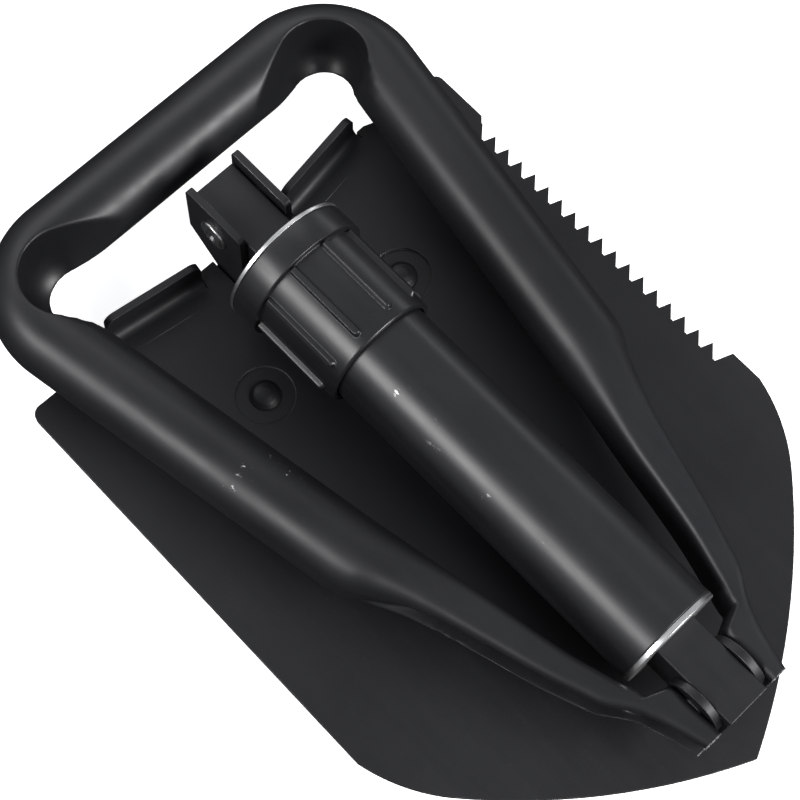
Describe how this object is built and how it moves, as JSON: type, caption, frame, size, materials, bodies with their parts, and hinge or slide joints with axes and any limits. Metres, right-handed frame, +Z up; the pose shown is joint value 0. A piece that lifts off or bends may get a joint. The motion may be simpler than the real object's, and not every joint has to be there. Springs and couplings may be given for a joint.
{
  "type": "folding camp shovel",
  "caption": "Folding steel camp shovel with a pointed blade, a saw-toothed side, a locking collar on a short tube and a D-shaped grip.",
  "frame": {"origin": "middle of the folded shovel's footprint, on the ground plane", "axes": "+X to the saw-toothed side of the blade, +Y from the blade's point towards the grip, +Z up from the blade towards the shaft"},
  "size_m": [0.1488, 0.2318, 0.0436],
  "materials": {
    "coated_steel": "satin black powder coat",
    "collar_black": "satin black, slightly rougher than the tube",
    "bare_steel": "turned steel, lightly oiled",
    "nylon": "black nylon"
  },
  "bodies": {
    "blade_body": {"blade": "coated_steel", "hinge_bracket": "coated_steel", "blade_rivets": "coated_steel", "blade_pivot_pin": "bare_steel"},
    "spine_body": {"spine_channel": "coated_steel", "blade_pivot_bush": "bare_steel", "handle_pivot_bush": "bare_steel"},
    "tube_body": {"shaft_tube": "coated_steel", "tube_end_cap": "bare_steel", "threaded_sleeve": "bare_steel", "rear_guide_bush": "nylon", "front_guide_bush": "nylon"},
    "thrust_ring_body": {"collar_thrust_ring": "bare_steel"},
    "collar_body": {"collar": "collar_black", "collar_snap_ring": "bare_steel"},
    "handle_body": {"handle_frame": "coated_steel", "handle_pivot_pin": "bare_steel", "handle_washer_right": "coated_steel", "handle_washer_left": "coated_steel"}
  },
  "joints": [
    {"name": "blade_fold", "type": "hinge", "parent": "blade_body", "child": "spine_body", "pos_m": [0, 0.07663, 0.0246], "axis": [-1, 0, 0], "range_deg": [0, 180]},
    {"name": "handle_fold", "type": "hinge", "parent": "spine_body", "child": "handle_body", "pos_m": [0, -0.09537, 0.0246], "axis": [1, 0, 0], "range_deg": [0, 180]},
    {"name": "tube_slide", "type": "slide", "parent": "spine_body", "child": "tube_body", "axis": [0, -1, 0], "range_m": [0, 0.00565]},
    {"name": "collar_feed", "type": "slide", "parent": "tube_body", "child": "thrust_ring_body", "axis": [0, 1, 0], "range_m": [0, 0.0119]},
    {"name": "collar_turn", "type": "hinge", "parent": "thrust_ring_body", "child": "collar_body", "pos_m": [0, 0.04063, 0.0246], "axis": [0, 1, 0], "range_deg": [0, 1428]}
  ],
  "couplings": [
    {"joint": "handle_fold", "follows": "blade_fold", "ratio": 1},
    {"joint": "collar_turn", "follows": "collar_feed", "rad_per_m": 2094.4},
    {"joint": "tube_slide", "follows": "collar_feed", "ratio": 0.47479}
  ]
}
